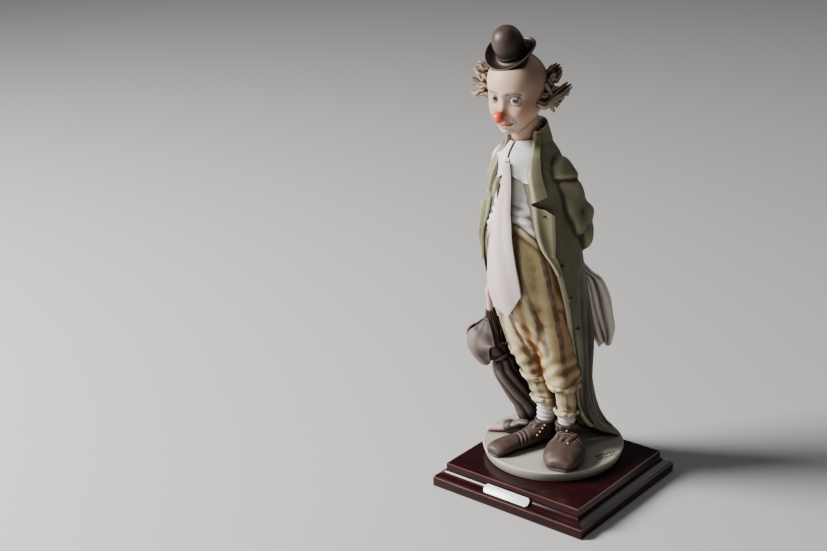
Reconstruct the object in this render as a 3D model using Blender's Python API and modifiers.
# Clown figurine on a moulded wooden plinth, metres, +Z up, front towards -Y.
# The origin is the middle of the plinth's underside.

from math import cos, pi, radians, sin

import bmesh
import bpy
from mathutils import Matrix, Vector

# Plinth
PLINTH_WIDTH = 0.1500
PLINTH_DEPTH = 0.1430
PLINTH_HEIGHT = 0.0207
SLAB_HEIGHT = 0.0084
SLAB_EDGE_ROUND = 0.0006
PLATEAU_INSET = 0.0083
BAND_HEIGHT = 0.0050
COVE_LIP = 0.0012
COVE_HOLLOW = 0.0022

# Round base, cast in one with the figure
BASE_DIAMETER = 0.1200
BASE_THICKNESS = 0.0093
BASE_TAPER = 0.0023
BASE_CHAMFER = 0.0010
BASE_SHIFT_X = -0.0079
BASE_SHIFT_Y = 0.0102

# Blank name plate on the front of the plinth
PLATE_LENGTH = 0.0450
PLATE_HEIGHT = 0.0080
PLATE_THICKNESS = 0.0010
PLATE_SHIFT_X = -0.0010

# Figure, from the top of the round base to the top of the hat
FIGURE_HEIGHT = 0.3652
GAP = 0.0003

# The figure is drawn in units of a millimetre at its real height
DRAWN_HEIGHT = 365.2
UNIT = FIGURE_HEIGHT / DRAWN_HEIGHT
DRAWN_BASE = Vector((-7.9, 10.2, 30.3))
SKIN_GRID = 1.15
MESH_SHARE = 0.036

# Torso and trousers by height: z, middle x, middle y, half width, front, back
BODY_ROWS = [
    (312, -14, -20, 10, 9, 9),
    (304, -14, -20, 15, 13, 11),
    (294, -14, -18, 25, 25, 16),
    (280, -14, -16, 29, 28, 19),
    (262, -14, -15, 32, 30, 22),
    (245, -14, -13, 33, 34, 26),
    (230, -14, -11, 34, 39, 30),
    (215, -13, -9, 35, 42, 33),
    (198, -13, -8, 36, 42, 34),
    (182, -13, -8, 36, 39, 34),
    (168, -12, -8, 34, 34, 33),
    (155, -12, -7, 32, 28.5, 31),
    (142, -11, -6, 28, 24, 28),
    (130, -10, -5, 21, 18, 22),
    (121, -9, -4, 12, 11, 14),
]

# Coat by height: z, middle x, middle y, half width, front, back, left edge, right edge, front fill
COAT_ROWS = [
    (311, -14, -19, 14, 14, 14, 55, 30, 0),
    (303, -14, -17, 19, 18, 15, 42, 18, 0),
    (294, -14, -16, 26, 26, 17, 35, 17, 0),
    (280, -14, -15, 31, 31, 21, 32, 22, 0),
    (262, -14, -14, 34, 32, 25, 34, 31, 0),
    (245, -14, -12, 36, 37, 29, 39, 37, 0),
    (230, -14, -10, 37.5, 42, 33, 48, 46, 0),
    (212, -14, -9, 38.5, 45, 36, 60, 54, 0),
    (196, -14, -7, 39, 45, 38, 65, 56, 0),
    (180, -14, -4, 39, 43, 41, 68, 60, 0),
    (160, -14, 0, 38, 39, 43, 69, 66, 0),
    (140, -13, 5, 36, 34, 41, 68, 74, 0),
    (115, -12, 9, 34, 28, 39, 70, 84, -4),
    (90, -12, 12, 33, 24, 37, 70, 88, -6),
    (68, -11, 17, 32, 20, 35, 69, 88, -5),
    (50, -10, 25, 33, 16, 32, 73, 90, -3),
    (39, -9, 36, 35, 10, 26, 84, 92, 0),
    (34, -8, 42, 38, 8, 22, 92, 92, 1),
    (29, -8, 48, 43, 7, 18, 98, 92, 2),
]

# Lapels by height: z, inner edge, outer edge in degrees from the front
LEFT_LAPEL = [
    (315, 60, 76), (305, 44, 60), (297, 36.5, 52), (289, 33, 50),
    (281, 32, 50), (272, 33, 52), (260, 34, 55), (252, 35, 57),
]
RIGHT_LAPEL = [
    (315, 40, 60), (305, 20, 40), (297, 16, 33), (289, 17, 35),
    (279, 23, 40), (266, 31, 50), (260, 32, 53), (252, 33, 55),
]
LAPEL_TOP = 312
LAPEL_NOTCH = 259.5
NOTCH_RISE = 6
LAPEL_LIFT = 3.2
FRONT_EDGE_TOP = 256
FRONT_EDGE_FOOT = 100
FRONT_EDGE_LIFT = 2.4

# Tie by height: z, left edge, right edge in degrees from the front
TIE_ROWS = [
    (293, -1, 6), (288, -1.5, 7), (279, -3, 8), (268, -6, 8), (259, -9.5, 7.5), (250, -12.5, 8),
    (240, -15, 11), (226, -18, 14.5), (212, -22, 17), (196, -25, 20), (180, -26, 21), (158, -27, 21),
]
TIE_TOP = 290.5
TIE_FOOT = (169, 161, 184)
TIE_LIFT = 3
EMBEDDED = 4

# Trouser legs from the seat to the hems: x, y, z, radius
RIGHT_LEG = [
    (-26, -11, 165, 21),
    (-24, -11, 146, 19),
    (-20, -8, 122, 16),
    (-16, -2, 104, 14),
    (-14.5, 1, 92, 12.5),
    (-12.5, 4, 76, 10.4),
    (-12, 5, 71, 10),
]
LEFT_LEG = [
    (1, -11, 165, 20),
    (4, -10, 146, 18),
    (7, -7, 122, 15),
    (9, -3, 104, 13.8),
    (10, -0.5, 95, 13),
    (10.5, 0.5, 90.5, 11.2),
    (11, 1, 86, 9.2),
    (11, 2.5, 72, 8.8),
    (10.5, 3, 64, 8.8),
]

# Ankles and socks: x, y, z, radius
RIGHT_SOCK = [(-13, 5, 78, 7.8), (-12.5, 5.5, 62, 7.4), (-12.5, 6, 46, 7.6)]
LEFT_SOCK = [(10.5, 3, 74, 7.6), (10, 4, 60, 7.3), (10, 4.5, 46, 7.6)]

# Boots from the collar to the toe: x, y, z, half width, half height
RIGHT_BOOT = [
    (-12, 14.5, 38, 6.5, 8.5),
    (-13, 7, 41, 8.8, 12),
    (-16, -3, 40.5, 8.6, 10.5),
    (-19.5, -12, 38, 8.4, 8),
    (-24, -22, 36.7, 9.2, 6.8),
    (-28.5, -32, 36, 10, 6.2),
    (-31, -40, 35, 9.2, 5),
    (-31.8, -44.5, 33.8, 6.5, 3.4),
]
LEFT_BOOT = [
    (8.5, 15, 38, 6.5, 8.5),
    (10, 8, 41, 9, 12),
    (13.5, 0, 40, 11, 11.5),
    (18.5, -8, 39, 15.5, 11),
    (22, -17, 37.5, 17.5, 9.5),
    (25, -27, 36, 15.5, 7.5),
    (27, -34, 34.5, 10, 5),
]
BOOT_SIDES = 16
BOOT_UNDERSIDE = 29
RIGHT_SHAFT = [(-12.5, 6, 38, 9), (-12.5, 6, 45, 9), (-12.5, 6, 51.8, 9.3)]
LEFT_SHAFT = [(10, 4.5, 38, 9.4), (10, 4.5, 47, 9.2), (10, 4, 55, 9.6)]

# Sleeves from the shoulder to the cuff, and the hands: x, y, z, radius
LEFT_SLEEVE = [
    (5, -16, 288, 8.5),
    (11, -15, 281, 10.5),
    (16, -10, 267, 11.5),
    (19, -3, 249, 11),
    (18, 8, 231, 11),
    (8, 19, 216, 10.5),
    (-3, 27, 207, 10),
    (-11, 31, 202, 10.5),
]
RIGHT_SLEEVE = [
    (-33, -16, 288, 8.5),
    (-38, -14, 281, 10.5),
    (-43, -10, 267, 11),
    (-47, -3, 246, 11),
    (-49, 1, 222, 10.5),
    (-50, 3, 202, 10),
    (-50.5, 3, 187, 10.5),
]
LEFT_HAND = [(-8, 33, 202, 6.5), (-15, 36, 199, 7.5), (-21, 37, 194, 6.5), (-24, 37, 188, 4)]
RIGHT_HAND = [(-50, 2, 191, 6.2), (-50, 3, 181, 6.8), (-51, 3, 173, 6.4), (-52, 2, 167, 4.8)]

# Umbrella, hung limp from the right hand: x, y, z, radius
UMBRELLA_HANDLE = [
    (-51, 3, 180, 2.6),
    (-55, -6, 174, 2.6),
    (-57, -14, 166, 2.6),
    (-56, -14.5, 156, 2.6),
    (-55.5, -14, 144, 3),
]
UMBRELLA_CLOTH = [
    (-55.5, -14, 148, 4),
    (-56, -12, 139, 6),
    (-57, -12, 130, 10.5),
    (-58, -12, 121, 15),
    (-55.5, -10.5, 113, 13.5),
    (-52, -8, 107, 9.5),
    (-48, -5.5, 100, 8),
    (-46.5, -4, 92, 9.8),
    (-42, -0.5, 80, 10),
    (-37.5, 3, 70, 10.2),
    (-34.5, 5.5, 63, 10),
    (-32.5, 8, 55, 10.5),
    (-31, 9.5, 46, 9),
    (-30, 10, 40, 8),
]
UMBRELLA_TIP = [(-30, 11, 50, 6.5), (-33, 9, 40, 6), (-41, 4, 36, 6), (-48, 0, 35.5, 6), (-51, -2, 35, 4.5)]
UMBRELLA_FERRULE = [(-49, -1, 34, 3.2), (-63, -9, 33, 3)]

UMBRELLA_FOLDS = 6
UMBRELLA_FOLD_DEPTH = 1.5
LEG_FOLDS = 5
LEG_FOLD_DEPTH = 0.7

# Head, hat and hair
HEAD_MIDDLE = Vector((-15, -31, 345))
HEAD_SCALE = 0.94
HEAD_TURN = radians(5)
HEAD_NOD = radians(10)
HAT_MIDDLE = Vector((-18, -32.5, 372.8))
HAT_TILT = radians(35.2)
HAT_LEAN = radians(-1.8)
HAT_DEPTH = 1.06
HAT_OUTLINE = [
    (4.4, 24.1), (8, 21.9), (10.4, 18.2), (11.5, 13), (11.7, 6), (11.8, 2.6),
    (14.6, 1.7), (17.6, 2.4), (19.6, 4), (20.5, 3.2), (19.6, 0.8), (15.5, -1.4),
]
BRIM_CURL = 2
BRIM_BACK_DROP = 4
BRIM_INNER = 13
BRIM_WIDTH = 6
BRIM_REACH = 20.4
HEAD_UNDER_HAT = -0.4
HEAD_SHAPES = [
    (0, 1, 6, 25.5, 28.5, 27),
    (0, -5, -9, 22.5, 23.5, 24.5),
    (0, -14, -25, 10.5, 10.5, 8.5),
    (0, -31, -12.5, 5, 5, 5),
]
CHEEK = (12, -19, -14)
CHEEK_SIZE = (8.5, 8, 7.5)
BROW = (7.5, -25, 4.5)
BROW_SIZE = (6.5, 3.2, 2)
EAR = (25, 5, -6)
EAR_SIZE = (3, 6, 9)
EAR_TURN = radians(24)
LIPS = [(-8, -24.5, -21.6, 1.6), (0, -27.3, -22.6, 2.2), (8, -24.5, -21.6, 1.6)]
NECK = [(-14, -20, 290, 15), (-14, -21, 304, 12.5), (-14, -25, 320, 12.5), (-15, -28, 332, 13)]

# Locks of hair over each ear, in the head's own axes: root, two bends and tip, each x, y, z, radius
LEFT_LOCKS = [
    [(18, 2, 12, 4.6), (24, 6, 13, 4.4), (28, 12, 14, 3.8), (31, 17, 16, 2.6)],
    [(19, 2, 7, 4.8), (25, 8, 7, 4.6), (30, 14, 9, 4), (34, 20, 12, 2.6)],
    [(20, 3, 2, 4.8), (26, 9, 1, 4.6), (31, 14, 2, 4), (36, 19, 5, 2.6)],
    [(20, 4, -3, 4.6), (25, 10, -5, 4.4), (29, 15, -5, 3.8), (33, 19, -4, 2.6)],
    [(18, 8, -8, 4.4), (22, 13, -11, 4.2), (26, 17, -13, 3.4), (29, 20, -14, 2.4)],
]
RIGHT_LOCKS = [
    [(-19, 0, 10, 4.6), (-25, 1, 11, 4.4), (-29, 0, 13, 3.8), (-33, -1, 16, 2.6)],
    [(-20, 0, 4, 4.8), (-26, 0, 4, 4.6), (-32, -1, 6, 4), (-36, -3, 8, 2.6)],
    [(-20, 0, -1, 4.8), (-27, 0, -2, 4.6), (-33, -1, -1, 4), (-37, -3, 1, 2.6)],
    [(-20, 1, -6, 4.6), (-26, 1, -8, 4.4), (-31, 0, -9, 3.8), (-35, -2, -9, 2.6)],
    [(-19, 6, -9, 4.4), (-24, 8, -12, 4.2), (-28, 8, -15, 3.4), (-32, 7, -17, 2.4)],
]
BACK_LOCK = [(24, 6, 5), (28, -2, 5.2), (29, -10, 4.2), (32, -17, 2)]
BACK_LOCK_COUNT = 5
BACK_LOCK_START = radians(-52)
BACK_LOCK_STEP = radians(26)

# Handkerchief down the back of the left hip: z, middle x, middle y, half width towards the left side
HANKY_ROWS = [
    (190, -9, 37, 5),
    (178, -4, 39.5, 5.5),
    (172, 2, 41.5, 5.5),
    (160, 5.5, 44, 7.5),
    (150, 7, 45.5, 9),
    (136, 9.5, 47.5, 9),
    (125, 11.5, 48.3, 8.5),
    (112, 13, 49, 5),
]
HANKY_ACROSS = (0.81, 0.583)
HANKY_HALF = 1.9
HANKY_FOLDS = 1.6

# Colours as linear RGB
PLASTER_WHITE = (0.62, 0.60, 0.55, 1)
MAHOGANY = (0.055, 0.012, 0.012, 1)
PLATE_WHITE = (0.80, 0.80, 0.78, 1)


# Scene and mesh helpers

def clear_scene():
    for item in list(bpy.data.objects):
        bpy.data.objects.remove(item, do_unlink=True)


def make_collection(name):
    group = bpy.data.collections.new(name)
    bpy.context.scene.collection.children.link(group)
    return group


def make_material(name, colour, roughness, metallic=0.0):
    material = bpy.data.materials.new(name)
    material.use_nodes = True
    shader = material.node_tree.nodes["Principled BSDF"]
    shader.inputs["Base Color"].default_value = colour
    shader.inputs["Roughness"].default_value = roughness
    shader.inputs["Metallic"].default_value = metallic
    return material


def object_from(mesh, name, group):
    bmesh.ops.recalc_face_normals(mesh, faces=mesh.faces[:])
    data = bpy.data.meshes.new(name)
    mesh.to_mesh(data)
    mesh.free()
    item = bpy.data.objects.new(name, data)
    group.objects.link(item)
    return item


def curve_row(rows, place):
    # A smooth curve through the rows, read at a place counted in rows
    last = len(rows) - 1
    start = min(int(place), last - 1)
    share = place - start
    ends = [rows[max(start - 1, 0)], rows[start], rows[start + 1], rows[min(start + 2, last)]]
    result = []
    for before, first, second, after in zip(*ends):
        slope = (second - before) / 2
        next_slope = (after - first) / 2
        bend = 3 * (second - first) - 2 * slope - next_slope
        twist = 2 * (first - second) + slope + next_slope
        result.append(first + slope * share + bend * share ** 2 + twist * share ** 3)
    return result


def smooth_rows(rows, steps):
    count = (len(rows) - 1) * steps
    return [curve_row(rows, index / steps) for index in range(count + 1)]


def row_at_height(rows, height):
    # Rows run downwards, with the height first
    for index in range(len(rows) - 1):
        upper = rows[index][0]
        lower = rows[index + 1][0]
        if height >= lower or index == len(rows) - 2:
            share = min(max((upper - height) / (upper - lower), 0), 1)
            return curve_row(rows, index + share)
    return rows[-1]


def add_loft(mesh, rings):
    # A closed skin through rings that have the same number of points
    loops = [[mesh.verts.new(point) for point in ring] for ring in rings]
    for lower, upper in zip(loops, loops[1:]):
        for index in range(len(lower)):
            after = (index + 1) % len(lower)
            mesh.faces.new((lower[index], lower[after], upper[after], upper[index]))
    mesh.faces.new(list(reversed(loops[0])))
    mesh.faces.new(loops[-1])


def add_tube(mesh, stations, steps=3, sides=14, folds=0, depth=0.0):
    # A round limb along a smooth path of x, y, z, radius, gathered into lengthwise folds
    path = smooth_rows(stations, steps)
    points = [Vector(row[:3]) for row in path]
    side = None
    rings = []
    for index, (point, row) in enumerate(zip(points, path)):
        ahead = points[min(index + 1, len(points) - 1)]
        behind = points[max(index - 1, 0)]
        along = (ahead - behind).normalized()
        if side is None:
            side = along.orthogonal().normalized()
        side = (side - along * side.dot(along)).normalized()
        other = along.cross(side)
        ring = []
        for step in range(sides):
            turn = 2 * pi * step / sides
            reach = row[3] + depth * cos(folds * turn)
            ring.append(point + reach * (cos(turn) * side + sin(turn) * other))
        rings.append(ring)
    add_loft(mesh, rings)


def add_ellipsoid(mesh, middle, radii, turn=None):
    matrix = Matrix.Translation(middle)
    if turn is not None:
        matrix = matrix @ turn.to_4x4()
    matrix = matrix @ Matrix.Diagonal((*radii, 1))
    bmesh.ops.create_uvsphere(mesh, u_segments=24, v_segments=16, radius=1, matrix=matrix)


def add_slab(mesh, outer, inner, columns, rows):
    # A closed slab between two surfaces, each a function of two shares
    layers = []
    for surface in (outer, inner):
        grid = []
        for row in range(rows + 1):
            points = [surface(column / columns, row / rows) for column in range(columns + 1)]
            grid.append([mesh.verts.new(point) for point in points])
        layers.append(grid)
    for grid in layers:
        for row in range(rows):
            for column in range(columns):
                corners = (grid[row][column], grid[row][column + 1])
                mesh.faces.new(corners + (grid[row + 1][column + 1], grid[row + 1][column]))
    rim = [(0, column) for column in range(columns)]
    rim += [(row, columns) for row in range(rows)]
    rim += [(rows, column) for column in range(columns, 0, -1)]
    rim += [(row, 0) for row in range(rows, 0, -1)]
    for first, second in zip(rim, rim[1:] + rim[:1]):
        top = (layers[0][first[0]][first[1]], layers[0][second[0]][second[1]])
        mesh.faces.new(top + (layers[1][second[0]][second[1]], layers[1][first[0]][first[1]]))


# Plinth

def plinth_profile():
    # Inset and height, from the underside to the top of the plateau
    band_foot = PLINTH_HEIGHT - BAND_HEIGHT
    cove_foot = SLAB_HEIGHT + COVE_LIP
    points = [(0, 0), (0, SLAB_HEIGHT - SLAB_EDGE_ROUND), (SLAB_EDGE_ROUND, SLAB_HEIGHT)]
    steps = 6
    foot_inset = 2 * SLAB_EDGE_ROUND
    for step in range(steps + 1):
        share = step / steps
        inset = foot_inset + (PLATEAU_INSET - foot_inset) * share + COVE_HOLLOW * sin(pi * share)
        points.append((inset, cove_foot + (band_foot - cove_foot) * share))
    points.append((PLATEAU_INSET, PLINTH_HEIGHT - SLAB_EDGE_ROUND))
    points.append((PLATEAU_INSET + SLAB_EDGE_ROUND, PLINTH_HEIGHT))
    return points


def make_plinth(group):
    rings = []
    for inset, height in plinth_profile():
        half_x = PLINTH_WIDTH / 2 - inset
        half_y = PLINTH_DEPTH / 2 - inset
        signs = ((1, 1), (-1, 1), (-1, -1), (1, -1))
        rings.append([Vector((half_x * x, half_y * y, height)) for x, y in signs])
    mesh = bmesh.new()
    add_loft(mesh, rings)
    plinth = object_from(mesh, "wood_plinth", group)
    plinth.data.materials.append(make_material("plinth_lacquer", MAHOGANY, 0.25))
    return plinth


def make_plate(group):
    # The plate leans on the two lips of the cove, clear of them by the gap
    foot = Vector((-2 * SLAB_EDGE_ROUND, SLAB_HEIGHT + COVE_LIP))
    head = Vector((-PLATEAU_INSET, PLINTH_HEIGHT - BAND_HEIGHT))
    slope = (head - foot).normalized()
    outward = Vector((slope.y, -slope.x))
    middle = (foot + head) / 2 + outward * (GAP + PLATE_THICKNESS / 2)
    half = PLATE_LENGTH / 2
    cut = PLATE_HEIGHT / 4
    rise = PLATE_HEIGHT / 2
    outline = [(half, rise - cut), (half - cut, rise), (cut - half, rise), (-half, rise - cut)]
    outline += [(-x, -y) for x, y in outline]
    mesh = bmesh.new()
    rings = []
    for depth in (-PLATE_THICKNESS / 2, PLATE_THICKNESS / 2):
        ring = []
        for x, y in outline:
            # Inset grows inwards from the plinth's front face
            inset, height = middle + slope * y + outward * depth
            ring.append(Vector((PLATE_SHIFT_X + x, -PLINTH_DEPTH / 2 - inset, height)))
        rings.append(ring)
    add_loft(mesh, rings)
    plate = object_from(mesh, "name_plate", group)
    plate.data.materials.append(make_material("plate_enamel", PLATE_WHITE, 0.35))
    return plate


# Figure, in drawn units

def body_point(height, angle, lift=0.0):
    middle_x, middle_y, side, front, back = row_at_height(BODY_ROWS, height)[1:]
    depth = front if cos(angle) > 0 else back
    x = middle_x + (side + lift) * sin(angle)
    return Vector((x, middle_y - (depth + lift) * cos(angle), height))


def coat_point(height, angle, lift=0.0):
    middle_x, middle_y, side, front, back = row_at_height(COAT_ROWS, height)[1:6]
    depth = front if cos(angle) > 0 else back
    x = middle_x + (side + lift) * sin(angle)
    return Vector((x, middle_y - (depth + lift) * cos(angle), height))


def coat_edges(height):
    left, right = row_at_height(COAT_ROWS, height)[6:8]
    return radians(left), radians(right)


def add_torso(mesh):
    rings = []
    for row in smooth_rows(BODY_ROWS, 3):
        angles = [2 * pi * step / 32 for step in range(32)]
        rings.append([body_point(row[0], angle) for angle in angles])
    add_loft(mesh, rings)


def coat_folds(height, angle):
    # Broad hanging folds, deeper towards the hem
    depth = 1.6 * min(max((200 - height) / 120, 0), 1)
    return depth * cos(7 * angle + height / 45)


def add_coat(mesh):
    rings = []
    for row in smooth_rows(COAT_ROWS, 3):
        height = row[0]
        left, right = coat_edges(height)
        ring = []
        for step in range(37):
            angle = left + (2 * pi - right - left) * step / 36
            ring.append(coat_point(height, angle, coat_folds(height, angle)))
        for step in range(1, 10):
            share = step / 10
            point = ring[36].lerp(ring[0], share)
            ring.append(point - Vector((0, row[8] * sin(pi * share), 0)))
        rings.append(ring)
    add_loft(mesh, rings)


def add_front_edge(mesh, side):
    # The turned front edge of the coat, a raised strip down each side
    def surface(lift):
        def point(across, down):
            height = FRONT_EDGE_TOP + down * (FRONT_EDGE_FOOT - FRONT_EDGE_TOP)
            left, right = coat_edges(height)
            edge = left if side > 0 else right
            width = radians(14 - 6 * down)
            return coat_point(height, side * (edge + width * across), lift * (1 - across * 0.4))
        return point
    add_slab(mesh, surface(FRONT_EDGE_LIFT), surface(-EMBEDDED), 4, 30)


def add_lapel(mesh, side, rows):
    # Wide lapel from the collar down to its notch
    def surface(lift):
        def point(across, down):
            foot = LAPEL_NOTCH + NOTCH_RISE * across
            height = LAPEL_TOP + down * (foot - LAPEL_TOP)
            inner, outer = row_at_height(rows, height)[1:]
            return coat_point(height, side * radians(inner + (outer - inner) * across), lift)
        return point
    add_slab(mesh, surface(LAPEL_LIFT), surface(-EMBEDDED), 4, 18)


def add_collar(mesh):
    # Stand-up collar round the back of the neck
    rings = []
    for top, lift in ((320, 1.5), (318, 4), (310, 6), (302, 8)):
        ring = []
        for step in range(19):
            angle = radians(60) + radians(240) * step / 18
            rise = top - 6 * (1 + cos(angle)) / 2
            ring.append(Vector((-14 + (12 + lift) * sin(angle), -19 - (12 + lift) * cos(angle), rise)))
        for step in range(17, 1, -1):
            angle = radians(60) + radians(240) * step / 18
            rise = top - 6 * (1 + cos(angle)) / 2
            ring.append(Vector((-14 + 8 * sin(angle), -19 - 8 * cos(angle), rise)))
        rings.append(ring)
    add_loft(mesh, rings)


def add_tie(mesh):
    # Long tie that widens down to a slanted point over the trousers
    left_foot, tip, right_foot = TIE_FOOT

    def surface(lift):
        def point(across, down):
            if across < 0.5:
                foot = left_foot + (tip - left_foot) * 2 * across
            else:
                foot = tip + (right_foot - tip) * (2 * across - 1)
            height = TIE_TOP + down * (foot - TIE_TOP)
            left, right = row_at_height(TIE_ROWS, height)[1:]
            return body_point(height, radians(left + (right - left) * across), lift)
        return point
    add_slab(mesh, surface(TIE_LIFT), surface(-EMBEDDED), 8, 30)
    add_ellipsoid(mesh, body_point(TIE_TOP + 1, 0.04, 1.5), (2.8, 2.6, 3.4))


def add_boot(mesh, stations, shaft):
    rings = []
    path = smooth_rows(stations, 3)
    for index, (x, y, z, half_width, half_height) in enumerate(path):
        ahead = path[min(index + 1, len(path) - 1)]
        behind = path[max(index - 1, 0)]
        along = Vector((ahead[0] - behind[0], ahead[1] - behind[1], 0)).normalized()
        across = Vector((along.y, -along.x, 0))
        ring = []
        for step in range(BOOT_SIDES):
            angle = 2 * pi * step / BOOT_SIDES
            rise = max(z + half_height * sin(angle), BOOT_UNDERSIDE)
            ring.append(Vector((x, y, 0)) + across * half_width * cos(angle) + Vector((0, 0, rise)))
        rings.append(ring)
    add_loft(mesh, rings)
    add_tube(mesh, shaft)


def add_handkerchief(mesh):
    # Cloth pulled out of the back, hanging in a few folds to a low corner
    along_x, along_y = HANKY_ACROSS
    top = HANKY_ROWS[0][0]
    foot = HANKY_ROWS[-1][0]

    def surface(lift):
        def point(across, down):
            height = top + (foot - top) * down
            x, y, half = row_at_height(HANKY_ROWS, height)[1:]
            reach = half * (2 * across - 1)
            fold = lift + HANKY_FOLDS * down * cos(3 * pi * across)
            x += along_x * reach - along_y * fold
            y += along_y * reach + along_x * fold
            return Vector((x, y, height))
        return point
    add_slab(mesh, surface(HANKY_HALF), surface(-HANKY_HALF), 10, 16)
    add_ellipsoid(mesh, Vector((-8, 37, 188)), (6, 7, 6))


# Head, in drawn units

def head_frame():
    return Matrix.Rotation(HEAD_TURN, 3, "Z") @ Matrix.Rotation(HEAD_NOD, 3, "X")


def head_place(turn, x, y, z):
    return HEAD_MIDDLE + turn @ Vector((x, y, z))


def hat_frame():
    return Matrix.Rotation(HAT_LEAN, 3, "Y") @ Matrix.Rotation(HAT_TILT, 3, "X")


def add_head(mesh):
    turn = head_frame()
    start = len(mesh.verts)

    def add_part(place, size, part_turn):
        middle = head_place(turn, *[HEAD_SCALE * value for value in place])
        add_ellipsoid(mesh, middle, [HEAD_SCALE * value for value in size], part_turn)
    for shape in HEAD_SHAPES:
        add_part(shape[:3], shape[3:], turn)
    for side in (-1, 1):
        add_part((side * CHEEK[0], *CHEEK[1:]), CHEEK_SIZE, turn)
        add_part((side * BROW[0], *BROW[1:]), BROW_SIZE, turn)
        ear_turn = turn @ Matrix.Rotation(side * EAR_TURN, 3, "Z")
        add_part((side * EAR[0], *EAR[1:]), EAR_SIZE, ear_turn)
    keep_under_hat(mesh, start)
    lips = [(*head_place(turn, x, y, z), radius) for x, y, z, radius in LIPS]
    add_tube(mesh, lips, 3, 8)
    add_tube(mesh, NECK)


def keep_under_hat(mesh, start):
    # The top of the head stays below the brim
    hat = hat_frame()
    mesh.verts.ensure_lookup_table()
    for vertex in mesh.verts[start:]:
        local = hat.transposed() @ (vertex.co - HAT_MIDDLE)
        if local.xy.length < BRIM_REACH + 1 and local.z > HEAD_UNDER_HAT:
            local.z = HEAD_UNDER_HAT
            vertex.co = HAT_MIDDLE + hat @ local


def add_hair(mesh):
    # Wavy locks that stand out over each ear, and shorter ones round the back
    turn = head_frame()
    for lock in LEFT_LOCKS + RIGHT_LOCKS:
        stations = [(*head_place(turn, x, y, z), radius) for x, y, z, radius in lock]
        add_tube(mesh, stations, 3, 8)
    for index in range(BACK_LOCK_COUNT):
        angle = BACK_LOCK_START + BACK_LOCK_STEP * index
        stations = []
        for reach, rise, radius in BACK_LOCK:
            x = reach * sin(angle) * 0.92
            stations.append((*head_place(turn, x, reach * cos(angle), rise), radius))
        add_tube(mesh, stations, 3, 8)


def add_hat(mesh):
    # Small bowler: a turned outline with its brim curled up at both sides
    hat = hat_frame()
    rings = []
    for radius, height in HAT_OUTLINE:
        ring = []
        for step in range(28):
            angle = 2 * pi * step / 28
            curl = BRIM_CURL * sin(angle) ** 2 - BRIM_BACK_DROP * max(cos(angle), 0) ** 1.5
            curl *= min(max((radius - BRIM_INNER) / BRIM_WIDTH, 0), 1)
            point = Vector((radius * sin(angle), HAT_DEPTH * radius * cos(angle), height + curl))
            ring.append(HAT_MIDDLE + hat @ point)
        rings.append(ring)
    add_loft(mesh, rings)


def make_base(group):
    # The round base narrows a little towards its underside
    mesh = bmesh.new()
    radius = BASE_DIAMETER / 2
    profile = [
        (radius - BASE_TAPER, PLINTH_HEIGHT + GAP),
        (radius, PLINTH_HEIGHT + GAP + BASE_THICKNESS - BASE_CHAMFER),
        (radius - BASE_CHAMFER, PLINTH_HEIGHT + GAP + BASE_THICKNESS),
    ]
    rings = []
    for reach, height in profile:
        angles = [2 * pi * step / 72 for step in range(72)]
        rings.append([Vector((reach * cos(turn), reach * sin(turn), height)) for turn in angles])
    add_loft(mesh, rings)
    base = object_from(mesh, "round_base", group)
    base.location = (BASE_SHIFT_X, BASE_SHIFT_Y, 0)
    base.hide_render = True
    base.display_type = "WIRE"
    return base


def make_figure(group, helpers):
    mesh = bmesh.new()
    add_torso(mesh)
    add_coat(mesh)
    for side, rows in ((1, LEFT_LAPEL), (-1, RIGHT_LAPEL)):
        add_front_edge(mesh, side)
        add_lapel(mesh, side, rows)
    add_collar(mesh)
    add_tie(mesh)
    for stations in (RIGHT_LEG, LEFT_LEG):
        add_tube(mesh, stations, 3, 24, LEG_FOLDS, LEG_FOLD_DEPTH)
    for stations in (RIGHT_SOCK, LEFT_SOCK, LEFT_SLEEVE, RIGHT_SLEEVE, LEFT_HAND, RIGHT_HAND):
        add_tube(mesh, stations)
    add_tube(mesh, UMBRELLA_CLOTH, 3, 36, UMBRELLA_FOLDS, UMBRELLA_FOLD_DEPTH)
    for stations in (UMBRELLA_HANDLE, UMBRELLA_TIP, UMBRELLA_FERRULE):
        add_tube(mesh, stations)
    add_boot(mesh, RIGHT_BOOT, RIGHT_SHAFT)
    add_boot(mesh, LEFT_BOOT, LEFT_SHAFT)
    add_handkerchief(mesh)
    add_head(mesh)
    add_hair(mesh)
    add_hat(mesh)
    base_top = Vector((BASE_SHIFT_X, BASE_SHIFT_Y, PLINTH_HEIGHT + GAP + BASE_THICKNESS))
    for vertex in mesh.verts:
        vertex.co = base_top + (vertex.co - DRAWN_BASE) * UNIT
    figure = object_from(mesh, "clown_figure", group)
    figure.data.materials.append(make_material("painted_resin", PLASTER_WHITE, 0.6))
    skin = figure.modifiers.new("one_skin", "REMESH")
    skin.mode = "VOXEL"
    skin.voxel_size = SKIN_GRID * UNIT
    fewer = figure.modifiers.new("fewer_faces", "DECIMATE")
    fewer.ratio = MESH_SHARE
    union = figure.modifiers.new("with_base", "BOOLEAN")
    union.operation = "UNION"
    union.solver = "EXACT"
    union.object = make_base(helpers)
    return figure


def main():
    clear_scene()
    group = make_collection("clown_figurine")
    helpers = make_collection("cutters")
    make_plinth(group)
    make_plate(group)
    make_figure(group, helpers)


main()
